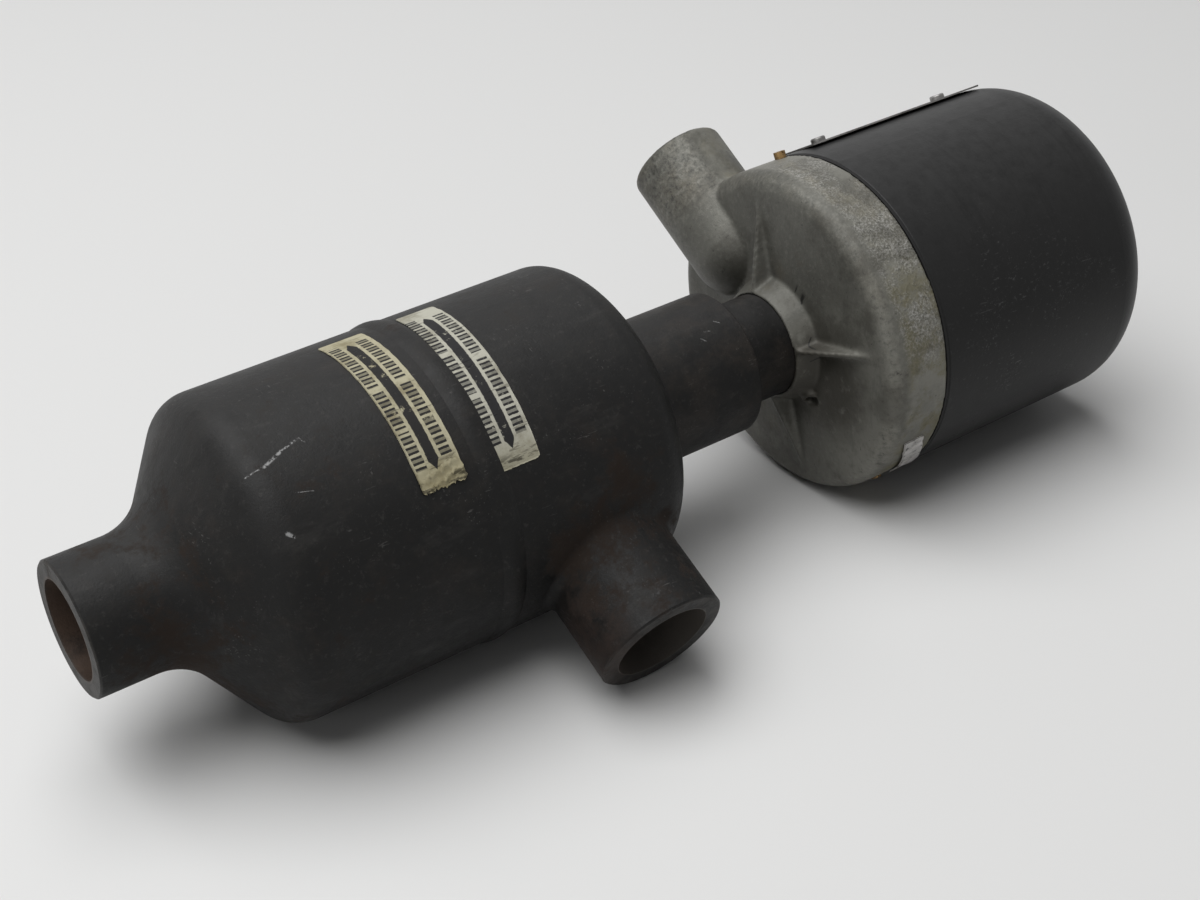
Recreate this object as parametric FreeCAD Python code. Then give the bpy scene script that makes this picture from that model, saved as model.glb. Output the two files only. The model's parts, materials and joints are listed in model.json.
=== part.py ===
import FreeCAD, Part
import math
import os

from FreeCAD import Vector

# Float level switch with one connection at the bottom of its chamber and one at the side: a steel
# float chamber, a cast aluminium switch housing that turns on the tube adapter, and a drawn steel
# cover. Millimetres.
#
# Everything is drawn about the switch's own axis: X runs from the rim of the bottom connection to the
# cover, and angles are in degrees round it, from up (+Z) towards the back (+Y). lay_down() then puts
# the finished pieces on the floor as the switch comes to rest: on the shoulder of its chamber, on the
# front edge of its housing and on the rim of its side connection.

# ---- Float chamber -----------------------------------------------------------------------------
chamber_radius = 70.65          # 5 inch pipe
chamber_wall = 6.5
connection_radius = 29.0        # 1 1/4 inch socket ends, bottom and side
socket_radius = 21.3
socket_depth = 19.0
connection_bore = 17.5
end_chamfer = 0.8
bottom_length = 37.5            # rim to the corner where the lower cone starts
bottom_cone = 29.9              # length of the lower cone
bottom_throat_round = 25.0
bottom_shoulder_round = 16.7
girth_seam = 158.5              # middle of the weld that joins the two halves
weld_gap = 3.0
weld_width = 11.0
weld_crown = 1.3
dome_start = 235.5
dome_depth = 25.2
dome_flat = 10.0                # radius of the dome's flattened middle
side_station = 208.0            # side connection, along X
side_reach = 110.0              # its rim, from the axis
side_weld_leg = 4.5
root_tolerance = 0.05           # for finding the edge under the side weld

# ---- Neck and adapter --------------------------------------------------------------------------
neck_radius = 33.4
neck_end = 314.2
neck_weld_leg = 3.5
thread_radius = 22.0            # adapter thread inside the neck
thread_length = 24.0
adapter_radius = 24.3           # 1 1/2 inch pipe
adapter_end = 366.0
guide_length = 10.0
tube_radius = 11.0              # enclosing tube
tube_wall = 1.2
tube_seat = 24.0                # enclosing tube inside the adapter
tube_end_round = 6.0
tube_end_gap = 2.0              # beyond the stem at the top of its travel

# ---- Float -------------------------------------------------------------------------------------
float_radius = 50.8
float_start = 92.0
float_length = 112.0
float_dome = 30.0
float_seat = 6.0                # flat at each pole, the size of the stem's foot
float_wall = 1.0
float_bead = 0.7
float_travel = 44.0
stem_radius = 3.0
stem_fit = 0.06
stop_radius = 8.0
stop_length = 6.0
stop_gap = 0.2
sleeve_start = 405.0
sleeve_length = 30.0
sleeve_radius = 9.0
sleeve_round = 1.0
nut_flats = 10.0
nut_height = 5.0

# ---- Housing base, die cast --------------------------------------------------------------------
hub_start = 339.7
hub_rim_wall = 1.2
hub_foot_radius = 30.0
hub_foot_station = 350.3
hub_inside_radius = 33.0
hub_inside_end = 364.0
face_station = 352.6            # front face at its edge, before the edge is rounded
face_wall = 5.2
band_radius = 77.7
band_round = 9.0
band_end = 383.6
band_wall = 4.0
swivel_fit = 0.1
groove_depth = 1.5              # groove in the adapter that keeps the housing on
groove_start = 350.5
groove_width = 7.0
rib_angles = (14.4, 104.4, 194.4, 284.4)
rib_reach = 68.0
rib_crest = 2.0                 # thickness along its edge
rib_foot_thickness = 9.0        # on the face, at the hub
rib_tip_thickness = 3.6         # on the face, at its outer end
rib_sink = 0.6
conduit_station = 362.1
conduit_angle = 59.0
conduit_radius = 23.6
conduit_reach = 107.0
conduit_bore = 15.3             # 1 inch thread
conduit_throat = 51.0           # centre of the rounded inner end, from the axis
conduit_chamfer = 1.2
set_screw_angle = 228.0
set_screw_lean = 60.0           # from the axis
set_screw_radius = 3.0
set_screw_length = 8.0
set_screw_socket = 1.5
set_screw_boss = 5.0
set_screw_reach = 10.5          # boss length from the screw's tip
ground_angle = 330.0
ground_lean = 54.0              # earth screw, from the axis
ground_boss = 5.0
ground_boss_height = 5.5
tag_angle = 235.2
tag_station = 374.2
tag_width = 11.2
tag_length = 34.0
tag_lean = 16.0                 # askew to the band
tag_thickness = 0.8

# ---- Cover -------------------------------------------------------------------------------------
gasket_thickness = 1.4
cover_lip = 0.3                 # the cover stands this far out past the band
cover_wall = 1.5
cover_end = 518.2
cover_knuckle = 21.0
cover_rim_round = 0.7
skirt_length = 5.4
skirt_gap = 0.3
clamp_screw_angles = (26.5, 206.5)
clamp_screw_station = 380.6
clamp_screw_radius = 2.0
clamp_screw_head = 2.8
clamp_screw_proud = 3.2
clamp_screw_slot = 1.0
clamp_screw_gap = 0.05
plate_angle = 30.5
plate_start = 393.9
plate_length = 104.6
plate_width = 30.0
plate_thickness = 0.8
plate_screw_inset = 14.2        # from each end of the plate
plate_screw_radius = 1.6
plate_screw_head = 3.6
plate_screw_height = 2.2
plate_screw_round = 0.9

# ---- Switch mechanism, clamped on the enclosing tube -------------------------------------------
sheet = 2.0
clamp_start = 392.0
clamp_length = 12.0
clamp_flat = 15.5               # the clamp's flats, from the axis
clamp_lug = 9.0
clamp_slit = 1.5
clamp_bolt_radius = 2.0
frame_start = 388.0
frame_end = 478.0
cheek_inside = 12.0             # half the gap between the two cheeks
cheek_start = 398.0
cheek_end = 444.0
cheek_round = 3.0
pivot_station = 430.0
pivot_height = 34.0
pivot_radius = 2.0
pivot_fit = 0.04
pivot_head = 3.0
arm_width = 16.0
arm_start = 405.0
arm_rise = 2.5                  # top and underside of the arm, from the pivot
arm_hub = 5.5
arm_side_gap = 0.5
magnet_station = 460.0
magnet_radius = 7.5
magnet_height = 12.0
magnet_seat_wall = 1.0
magnet_gap = 4.0                # to the enclosing tube at rest
magnet_swing = 5.0              # degrees
window_gap = 3.5
spring_station = 436.0          # its fold
spring_length = 12.0
spring_width = 8.0
spring_sheet = 0.6
spring_fold = 1.2
spring_gap = 0.1
switch_clear = 3.5              # under the switch, above the arm
switch_height = 16.0
switch_length = 26.0
plunger_station = 410.0
plunger_radius = 2.0
plunger_fit = 0.05
plunger_gap = 0.4
plunger_length = 9.0
block_length = 26.0
block_width = 56.0
block_height = 16.0
terminal_radius = 3.4
terminal_height = 2.0
screw_radius = 1.5
screw_head = 3.0
screw_head_height = 2.0
lead_radius = 1.2
lead_pitch = 7.0
lead_count = 3
lead_offset = 6.0
lead_rise = 5.5
lead_out = 33.0
lead_bend = 4.0

# ---- Labels ------------------------------------------------------------------------------------
label_thickness = 0.25
label_gap = 0.1                 # glue
falling_station = 137.75
falling_width = 20.0
falling_angles = (-57.0, 15.0)
rising_station = 173.0
rising_width = 17.8
rising_angles = (-59.8, 16.0)

# ---- Places that follow from the sizes above ----------------------------------------------------
AXIS = Vector(1, 0, 0)
ORIGIN = Vector(0, 0, 0)

bottom_slope = bottom_cone / (chamber_radius - connection_radius)
inner_radius = chamber_radius - chamber_wall
seam_start = girth_seam - weld_gap / 2
seam_end = girth_seam + weld_gap / 2
guide_start = neck_end - thread_length
tube_inside = tube_radius - tube_wall
tube_start = adapter_end - tube_seat
sleeve_end = sleeve_start + sleeve_length
stem_end = sleeve_end + nut_height + stem_radius
tube_end = stem_end + float_travel + tube_end_gap + tube_wall
float_end = float_start + float_length
float_middle = float_start + float_length / 2
float_shoulder = float_length / 2 - float_dome * math.sqrt(1 - (float_seat / float_radius) ** 2)
hub_bore = adapter_radius + swivel_fit
hub_rim = adapter_radius + hub_rim_wall
cavity_start = face_station + face_wall
cavity_radius = band_radius - band_wall
cover_start = band_end + gasket_thickness
cover_radius = band_radius + cover_lip
skirt_radius = cavity_radius - skirt_gap
skirt_start = band_end - skirt_length
clamp_middle = clamp_start + clamp_length / 2
clamp_bolt_side = clamp_flat + clamp_lug / 2
frame_top = clamp_flat + sheet
plate_screw_stations = (plate_start + plate_screw_inset, plate_start + plate_length - plate_screw_inset)
arm_top = pivot_height + arm_rise
arm_bottom = pivot_height - arm_rise
magnet_bottom = tube_radius + magnet_gap
magnet_top = magnet_bottom + magnet_height
switch_bottom = arm_top + switch_clear
switch_top = switch_bottom + switch_height
switch_end = cheek_start + switch_length


# ---- Helpers -----------------------------------------------------------------------------------
def corner_arc(before, corner, after, radius):
    """The first, middle and last point of the arc that rounds a corner."""
    back = (before - corner).normalize()
    ahead = (after - corner).normalize()
    half = back.getAngle(ahead) / 2
    reach = radius / math.tan(half)
    middle = (back + ahead).normalize() * (radius / math.sin(half) - radius)
    return corner + back * reach, corner + middle, corner + ahead * reach


def outline(corners, place):
    """A closed face from (a, b) or (a, b, corner radius) corners; place(a, b) gives each point."""
    points = [place(corner[0], corner[1]) for corner in corners]
    stretches = []
    for i, corner in enumerate(corners):
        if len(corner) > 2:
            stretches.append(corner_arc(points[i - 1], points[i], points[(i + 1) % len(points)], corner[2]))
        else:
            stretches.append((points[i],))
    edges = []
    for i, stretch in enumerate(stretches):
        if len(stretch) > 1:
            edges.append(Part.Arc(*stretch).toShape())
        following = stretches[(i + 1) % len(stretches)]
        edges.append(Part.makeLine(stretch[-1], following[0]))
    return Part.Face(Part.Wire(edges))


def turned(*corners):
    """A solid of revolution about the axis, from (x, r) or (x, r, corner radius) corners."""
    return outline(corners, lambda x, r: Vector(x, 0, r)).revolve(ORIGIN, AXIS, 360)


def sawn(corners, low, high):
    """A plate cut to (x, z) or (x, z, corner radius) corners, from y = low to y = high."""
    return outline(corners, lambda x, z: Vector(x, low, z)).extrude(Vector(0, high - low, 0))


def rod(radius, start, end, inside=0):
    """A round bar, or a tube, along the axis."""
    bar = Part.makeCylinder(radius, end - start, Vector(start, 0, 0), AXIS)
    if inside:
        bar = bar.cut(Part.makeCylinder(inside, end - start, Vector(start, 0, 0), AXIS))
    return bar


def post(radius, x, y, low, high):
    """A round bar along Z."""
    return Part.makeCylinder(radius, high - low, Vector(x, y, low))


def cross_bar(radius, x, z, low, high):
    """A round bar along Y."""
    return Part.makeCylinder(radius, high - low, Vector(x, low, z), Vector(0, 1, 0))


def box(x0, x1, y0, y1, z0, z1):
    return Part.makeBox(x1 - x0, y1 - y0, z1 - z0, Vector(x0, y0, z0))


def turn_to(shape, angle, x=0):
    """Swing a shape drawn above the axis round to an angle, and move it along to x."""
    moved = shape.copy()
    moved.rotate(ORIGIN, AXIS, -angle)
    moved.translate(Vector(x, 0, 0))
    return moved


def radial_rod(radius, x, angle, low, high):
    """A round bar that stands out from the axis."""
    return turn_to(post(radius, 0, 0, low, high), angle, x)


def joined(*shapes):
    """One solid from several that meet."""
    return shapes[0].multiFuse(shapes[1:]).removeSplitter()


def less(shape, *cutters):
    for cutter in cutters:
        shape = shape.cut(cutter)
    return shape


def hexagon(flats, start, end):
    """A hexagon bar along the axis."""
    turns = [math.radians(60 * i) for i in range(7)]
    points = [Vector(start, math.cos(turn), math.sin(turn)) for turn in turns]
    for point in points:
        point.y *= flats / math.sqrt(3)
        point.z *= flats / math.sqrt(3)
    return Part.Face(Part.makePolygon(points)).extrude(Vector(end - start, 0, 0))


def sector(low, high, radius):
    """A wedge between two angles, along the whole axis."""
    edge = turn_to(Part.makeLine(ORIGIN, Vector(0, 0, radius)), high)
    return edge.revolve(ORIGIN, AXIS, high - low).extrude(Vector(cover_end, 0, 0))


def bent_bar(points, radius, bend):
    """A round bar along straight runs joined by arcs."""
    edges = []
    start = points[0]
    for before, corner, after in zip(points, points[1:], points[2:]):
        arc = corner_arc(before, corner, after, bend)
        edges += [Part.makeLine(start, arc[0]), Part.Arc(*arc).toShape()]
        start = arc[2]
    edges.append(Part.makeLine(start, points[-1]))
    section = Part.Wire(Part.makeCircle(radius, points[0], points[1] - points[0]))
    return Part.Wire(edges).makePipeShell([section], True, False)


def slot(shape, high, width):
    """Cut a screwdriver slot, as deep as it is wide, across the top of an upright screw head."""
    return shape.cut(box(-width / 2, width / 2, -high, high, high - width, high))


def domed(start, shoulder, radius, depth, flat, tip):
    """A round bar from x = start, closed past its shoulder by an elliptic dome cut off at radius tip."""
    side = 1 if shoulder > start else -1
    reach = radius - flat
    middle = Vector(shoulder, 0, flat)
    curve = Part.Ellipse(Vector(shoulder, 0, radius), Vector(shoulder + side * depth, 0, flat), middle)
    turn = math.acos((tip - flat) / reach)
    arc = Part.Arc(curve, 0, turn)
    end = Vector(shoulder + side * depth * math.sin(turn), 0, tip)
    pole = Vector(end.x, 0, 0)
    edges = [Part.makeLine(Vector(start, 0, 0), Vector(start, 0, radius)),
             Part.makeLine(Vector(start, 0, radius), Vector(shoulder, 0, radius)), arc.toShape(),
             Part.makeLine(end, pole), Part.makeLine(pole, Vector(start, 0, 0))]
    return Part.Face(Part.Wire(edges)).revolve(ORIGIN, AXIS, 360)


# ---- Float chamber -----------------------------------------------------------------------------
def dome_x(radius):
    """Where the chamber's dome has come in to a radius."""
    share = (radius - dome_flat) / (chamber_radius - dome_flat)
    return dome_start + dome_depth * math.sqrt(1 - share * share)


neck_start = dome_x(neck_radius)


def lower_cone_x(radius, skin=0):
    return bottom_length + (radius - connection_radius) * bottom_slope + skin


def lower_chamber():
    """Bottom connection, cone and lower half of the chamber, forged in one piece."""
    skin = chamber_wall * math.hypot(1, bottom_slope)
    return turned((0, connection_radius - end_chamfer), (end_chamfer, connection_radius),
                  (bottom_length, connection_radius, bottom_throat_round),
                  (lower_cone_x(chamber_radius), chamber_radius, bottom_shoulder_round),
                  (seam_start, chamber_radius), (seam_start, inner_radius),
                  (lower_cone_x(inner_radius, skin), inner_radius, bottom_shoulder_round - chamber_wall),
                  (lower_cone_x(connection_bore, skin), connection_bore),
                  (socket_depth, connection_bore), (socket_depth, socket_radius), (0, socket_radius))


def upper_outside():
    """Outside of the upper half, with no hollow."""
    return domed(seam_end, dome_start, chamber_radius, dome_depth, dome_flat, neck_radius)


def side_bore():
    return radial_rod(connection_bore, side_station, side_angle, 0, side_reach)


def upper_chamber():
    """Upper half: pipe and dome, open to the neck and to the side connection."""
    hollow = domed(seam_end, dome_start, inner_radius, dome_depth - chamber_wall, dome_flat, thread_radius)
    throat = rod(thread_radius, seam_end, neck_start)
    return less(upper_outside(), hollow, throat, side_bore())


def girth_weld():
    """Weld that fills the gap between the two halves and stands proud of both."""
    foot = weld_width / 2
    root = weld_gap / 2
    crown = Part.Arc(Vector(girth_seam - foot, 0, chamber_radius),
                     Vector(girth_seam, 0, chamber_radius + weld_crown),
                     Vector(girth_seam + foot, 0, chamber_radius)).toShape()
    points = [Vector(girth_seam + a, 0, r) for a, r in
              ((foot, chamber_radius), (root, chamber_radius), (root, inner_radius),
               (-root, inner_radius), (-root, chamber_radius), (-foot, chamber_radius))]
    return Part.Face(Part.Wire([crown] + Part.makePolygon(points).Edges)).revolve(ORIGIN, AXIS, 360)


def side_outside():
    """Outside of the side connection, from the axis to its chamfered rim."""
    bar = post(connection_radius, 0, 0, 0, side_reach - end_chamfer)
    rim = Part.makeCone(connection_radius, connection_radius - end_chamfer, end_chamfer,
                        Vector(0, 0, side_reach - end_chamfer))
    return turn_to(joined(bar, rim), side_angle, side_station)


def side_connection():
    """Socket stub whose root is cut to the chamber's pipe."""
    socket = radial_rod(socket_radius, side_station, side_angle, side_reach - socket_depth, side_reach)
    return less(side_outside(), upper_outside(), side_bore(), socket)


def on_side_root(edge):
    """Whether an edge follows the joint of the chamber's outside and the side connection's."""
    middle = Vector(side_station, 0, 0)
    towards = turn_to(Part.Vertex(0, 0, 1), side_angle).Point
    for point in edge.discretize(5)[1:4]:
        along = (point - middle).dot(towards)
        off = (point - middle - towards * along).Length
        if abs(off - connection_radius) > root_tolerance or not 0 < along < chamber_radius + root_tolerance:
            return False
    return True


def side_weld():
    """Fillet weld round the root of the side connection."""
    body = joined(upper_outside(), side_outside())
    root = [edge for edge in body.Edges if on_side_root(edge)]
    return body.makeFillet(side_weld_leg, root).cut(body)


def neck_collar():
    """Threaded collar on top of the chamber, for the tube adapter."""
    return turned((neck_start, thread_radius), (neck_start, neck_radius),
                  (neck_end, neck_radius, end_chamfer), (neck_end, thread_radius))


def neck_weld():
    """Fillet weld between the dome and the collar."""
    foot = neck_radius + neck_weld_leg
    bead = turned((neck_start - neck_weld_leg, neck_radius), (dome_x(foot), foot),
                  (neck_start + neck_weld_leg, neck_radius))
    return bead.cut(upper_outside())


def tube_adapter():
    """Adapter screwed into the collar: it carries the enclosing tube and the switch housing."""
    groove_end = groove_start + groove_width
    bottom = adapter_radius - groove_depth
    return turned((guide_start, thread_radius - end_chamfer), (guide_start + end_chamfer, thread_radius),
                  (neck_end, thread_radius), (neck_end, adapter_radius), (groove_start, adapter_radius),
                  (groove_start, bottom), (groove_end, bottom), (groove_end, adapter_radius),
                  (adapter_end, adapter_radius), (adapter_end, tube_radius), (tube_start, tube_radius),
                  (tube_start, tube_inside), (guide_start, tube_inside))


def stem_guide():
    """Bush that guides the float's stem and stops its fall."""
    return rod(tube_inside, guide_start, guide_start + guide_length, stem_radius + stem_fit)


def enclosing_tube():
    """Closed tube that parts the liquid from the switch."""
    return turned((tube_start, tube_radius), (tube_end, tube_radius, tube_end_round), (tube_end, 0),
                  (tube_end - tube_wall, 0), (tube_end - tube_wall, tube_inside, tube_end_round - tube_wall),
                  (tube_start, tube_inside))


def label(station, width, angles):
    """Paper label stuck round the chamber."""
    inside = chamber_radius + label_gap
    ring = rod(inside + label_thickness, station - width / 2, station + width / 2, inside)
    return ring.common(sector(*angles, 2 * chamber_radius))


# ---- Float -------------------------------------------------------------------------------------
def float_half(side):
    """Half shell of the float: side is -1 for the lower half and 1 for the upper one."""
    shoulder = float_middle + side * float_shoulder
    outside = domed(float_middle, shoulder, float_radius, float_dome, 0, float_seat)
    hollow = domed(float_middle, shoulder, float_radius - float_wall, float_dome - float_wall, 0,
                   float_seat)
    return outside.cut(hollow)


def float_weld():
    """Bead round the float's seam."""
    return turned((float_middle - 2 * float_bead, float_radius), (float_middle, float_radius + float_bead),
                  (float_middle + 2 * float_bead, float_radius))


def float_stem():
    """Rod that stands on a foot on the float's upper pole."""
    foot = rod(float_seat, float_end, float_end + stem_radius)
    return joined(foot, rod(stem_radius, float_end, stem_end))


def stem_stop():
    """Collar that comes down on the guide."""
    start = guide_start + guide_length + stop_gap
    return rod(stop_radius, start, start + stop_length, stem_radius)


def attraction_sleeve():
    """Iron sleeve that draws the magnet in."""
    return turned((sleeve_start, stem_radius), (sleeve_start, sleeve_radius, sleeve_round),
                  (sleeve_end, sleeve_radius, sleeve_round), (sleeve_end, stem_radius))


def stem_nuts():
    """Jam nuts at both ends of the sleeve."""
    return Part.makeCompound([hexagon(nut_flats, start, start + nut_height)
                              .cut(rod(stem_radius, start, start + nut_height))
                              for start in (sleeve_start - nut_height, sleeve_end)])


# ---- Housing base ------------------------------------------------------------------------------
def set_screw_bar(radius, low, high):
    """A round bar on the set screw's slanted line, measured from the screw's tip in the groove."""
    lean = math.radians(set_screw_lean)
    direction = Vector(-math.cos(lean), 0, math.sin(lean))
    drop = set_screw_radius * math.cos(lean)
    tip = Vector(groove_start + groove_width / 2 + set_screw_radius / 2, 0,
                 adapter_radius - groove_depth + drop + swivel_fit)
    return turn_to(Part.makeCylinder(radius, high - low, tip + direction * low, direction), set_screw_angle)


def conduit_bar(radius, chamfer=0):
    """A round bar along the conduit's line, with a ball at its inner end."""
    bar = radial_rod(radius, conduit_station, conduit_angle, conduit_throat, conduit_reach - chamfer)
    ball = turn_to(Part.makeSphere(radius, Vector(0, 0, conduit_throat)), conduit_angle, conduit_station)
    if not chamfer:
        return bar.fuse(ball)
    rim = Part.makeCone(radius, radius - chamfer, chamfer, Vector(0, 0, conduit_reach - chamfer))
    return joined(bar, ball, turn_to(rim, conduit_angle, conduit_station))


def rib_section(r, crest, thickness):
    """Outline of a gusset at a distance from the axis: thin along its crest, thicker on the face."""
    half, foot = rib_crest / 2, thickness / 2
    return Part.makePolygon([Vector(crest, -half, r), Vector(crest, half, r), Vector(cavity_start, foot, r),
                             Vector(cavity_start, -foot, r), Vector(crest, -half, r)])


def rib(angle):
    """Gusset from the hub's rim out to the face."""
    sections = [rib_section(hub_rim - rib_sink, hub_start, rib_foot_thickness),
                rib_section(rib_reach, face_station, rib_tip_thickness)]
    return turn_to(Part.makeLoft(sections, True, True), angle)


def ground_bar(radius, start, end):
    """A round bar along X at the earth screw's place."""
    bar = Part.makeCylinder(radius, end - start, Vector(start, 0, ground_lean), AXIS)
    return turn_to(bar, ground_angle)


def housing_base():
    """Die casting: hub with gussets, face, band and conduit in one piece."""
    shell = turned((hub_start, hub_bore), (hub_start, hub_rim), (hub_foot_station, hub_foot_radius),
                   (face_station, band_radius, band_round), (band_end, band_radius), (band_end, hub_bore))
    solid = joined(shell, conduit_bar(conduit_radius, conduit_chamfer),
                   set_screw_bar(set_screw_boss, 0, set_screw_reach), *[rib(angle) for angle in rib_angles])
    cavity = turned((cavity_start, hub_inside_radius), (cavity_start, cavity_radius, band_round - band_wall),
                    (band_end, cavity_radius), (band_end, 0), (hub_inside_end, 0),
                    (hub_inside_end, hub_inside_radius))
    past_band = rod(cover_radius + skirt_gap, band_end, band_end + 2 * conduit_radius)
    solid = less(solid, cavity, past_band)
    solid = joined(solid, ground_bar(ground_boss, cavity_start, cavity_start + ground_boss_height))
    holes = [radial_rod(clamp_screw_radius, clamp_screw_station, angle, skirt_radius, cover_radius)
             for angle in clamp_screw_angles]
    return less(solid, conduit_bar(conduit_bore), rod(hub_bore, 0, band_end),
                set_screw_bar(set_screw_radius, -set_screw_radius, set_screw_reach + set_screw_radius),
                ground_bar(screw_radius, cavity_start, cavity_start + ground_boss_height), *holes)


def set_screw():
    """Socket set screw that stands in the adapter's groove."""
    socket = set_screw_bar(set_screw_socket, set_screw_length - set_screw_radius, set_screw_length)
    return set_screw_bar(set_screw_radius, 0, set_screw_length).cut(socket)


def ground_screw():
    """Earth screw inside the housing."""
    top = cavity_start + ground_boss_height
    return joined(ground_bar(screw_radius, cavity_start, top),
                  ground_bar(terminal_radius, top, top + terminal_height))


def clamp_screws():
    """Brass screws through the band that hold the cover's skirt."""
    top = band_radius + clamp_screw_proud
    screw = joined(post(clamp_screw_radius, 0, 0, skirt_radius + clamp_screw_gap, band_radius),
                   post(clamp_screw_head, 0, 0, band_radius, top))
    slotted = slot(screw, top, clamp_screw_slot)
    return Part.makeCompound([turn_to(slotted, angle, clamp_screw_station) for angle in clamp_screw_angles])


def band_tag():
    """Thin metal tag bent round the band, a little askew."""
    ring = rod(band_radius + tag_thickness, face_station, band_end, band_radius)
    blank = box(-tag_width / 2, tag_width / 2, -tag_length / 2, tag_length / 2, 0, cover_end)
    blank.rotate(ORIGIN, Vector(0, 0, 1), tag_lean)
    return ring.common(turn_to(blank, tag_angle, tag_station))


def cover_gasket():
    return rod(band_radius, band_end, cover_start, cavity_radius)


# ---- Cover -------------------------------------------------------------------------------------
def plate_holes():
    """The nameplate screws' shanks, through plate and cover."""
    return [radial_rod(plate_screw_radius, station, plate_angle, cover_radius - 2 * cover_wall,
                       cover_radius + plate_thickness) for station in plate_screw_stations]


def cover():
    """Drawn can whose stepped-in skirt slides into the housing base."""
    shelf = cover_start + cover_wall
    can = turned((skirt_start, skirt_radius), (cover_start, skirt_radius),
                 (cover_start, cover_radius, cover_rim_round), (cover_end, cover_radius, cover_knuckle),
                 (cover_end, 0), (cover_end - cover_wall, 0),
                 (cover_end - cover_wall, cover_radius - cover_wall, cover_knuckle - cover_wall),
                 (shelf, cover_radius - cover_wall), (shelf, skirt_radius - cover_wall),
                 (skirt_start, skirt_radius - cover_wall))
    return less(can, *plate_holes())


def nameplate():
    """Blank plate laid along the cover."""
    plate = box(plate_start, plate_start + plate_length, -plate_width / 2, plate_width / 2, cover_radius,
                cover_radius + plate_thickness)
    return less(turn_to(plate, plate_angle), *plate_holes())


def nameplate_screws():
    """Pan head screws that hold the nameplate."""
    low = cover_radius + plate_thickness
    head = post(plate_screw_head, 0, 0, low, low + plate_screw_height)
    rim = [edge for edge in head.Edges if edge.BoundBox.ZMin > low]
    head = head.makeFillet(plate_screw_round, rim)
    heads = [turn_to(head, plate_angle, station) for station in plate_screw_stations]
    return Part.makeCompound([joined(top, shank) for top, shank in zip(heads, plate_holes())])


# ---- Switch mechanism --------------------------------------------------------------------------
def frame_screw_spots():
    """Centres of the screws in the clamp's flats, as (y, side)."""
    return [(y * clamp_flat / 2, side) for y in (-1, 1) for side in (-1, 1)]


def flat_post(radius, y, side, low, high):
    """A round bar that stands on one of the clamp's flats: side is 1 above and -1 below."""
    return post(radius, clamp_middle, y, *sorted((side * low, side * high)))


def frame_clamp():
    """Split clamp on the enclosing tube, with a flat above and one below."""
    end = clamp_start + clamp_length
    out = clamp_flat + clamp_lug
    block = box(clamp_start, end, -clamp_flat, out, -clamp_flat, clamp_flat)
    slit = box(clamp_start, end, 0, out, -clamp_slit / 2, clamp_slit / 2)
    threads = [flat_post(screw_radius, y, side, clamp_flat - 2 * sheet, clamp_flat)
               for y, side in frame_screw_spots()]
    return less(block, rod(tube_radius, clamp_start, end), slit,
                post(clamp_bolt_radius, clamp_middle, clamp_bolt_side, -clamp_flat, clamp_flat), *threads)


def clamp_bolt():
    """Bolt that closes the clamp."""
    head = post(2 * clamp_bolt_radius, clamp_middle, clamp_bolt_side, clamp_flat, clamp_flat + sheet)
    return joined(head, post(clamp_bolt_radius, clamp_middle, clamp_bolt_side, -clamp_flat, clamp_flat))


def frame_screws():
    """Screws that hold the frame and the terminal bracket on the clamp's flats."""
    return Part.makeCompound([
        joined(flat_post(screw_radius, y, side, clamp_flat - 2 * sheet, frame_top),
               flat_post(screw_head, y, side, frame_top, frame_top + screw_head_height))
        for y, side in frame_screw_spots()])


def screw_holes(side):
    """Holes for the frame screws in one of the two sheets."""
    return [flat_post(screw_radius, y, side, clamp_flat, frame_top)
            for y, spot_side in frame_screw_spots() if spot_side == side]


def switch_bolt_bars(radius, low, high):
    """Round bars at the two bolts that hold the switch between the cheeks."""
    inset = 2 * screw_head
    z = switch_top - inset
    return [cross_bar(radius, x, z, low, high) for x in (cheek_start + inset, switch_end - inset)]


def switch_frame():
    """Folded sheet: a floor with a window for the magnet, and two cheeks for pivot and switch."""
    out = cheek_inside + sheet
    floor = box(frame_start, frame_end, -out, out, clamp_flat, frame_top)
    half = magnet_radius + window_gap
    window = box(magnet_station - half, magnet_station + half, -half, half, clamp_flat, frame_top)
    shoulder = pivot_height + 2 * pivot_head
    corners = ((cheek_start, clamp_flat), (cheek_end, clamp_flat), (cheek_end, shoulder, cheek_round),
               (switch_end, shoulder), (switch_end, switch_top, cheek_round),
               (cheek_start, switch_top, cheek_round))
    frame = joined(floor, sawn(corners, -out, -cheek_inside), sawn(corners, cheek_inside, out))
    return less(frame, window, cross_bar(pivot_radius, pivot_station, pivot_height, -out, out),
                *switch_bolt_bars(screw_radius, -out, out), *screw_holes(1))


def pivot_pin():
    """Pin through the cheeks, headed at both ends."""
    out = cheek_inside + sheet
    end = out + sheet
    ends = [cross_bar(pivot_head, pivot_station, pivot_height, low, high)
            for low, high in ((-end, -out), (out, end))]
    return joined(cross_bar(pivot_radius, pivot_station, pivot_height, -out, out), *ends)


def magnet_arm():
    """Rocking arm: hub on the pin, pad under the plunger, seat for the magnet."""
    reach = cheek_inside - arm_side_gap
    seat_start = magnet_station - magnet_radius - magnet_seat_wall
    end = magnet_station + magnet_radius + magnet_seat_wall
    corners = ((arm_start, arm_bottom), (seat_start, arm_bottom), (seat_start, magnet_top),
               (end, magnet_top), (end, arm_top), (arm_start, arm_top))
    bar = sawn(corners, -arm_width / 2, arm_width / 2)
    hub = cross_bar(arm_hub, pivot_station, pivot_height, -reach, reach)
    bore = cross_bar(pivot_radius + pivot_fit, pivot_station, pivot_height, -reach, reach)
    return less(joined(bar, hub), bore)


def magnet():
    return post(magnet_radius, magnet_station, 0, magnet_bottom, magnet_top)


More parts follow.
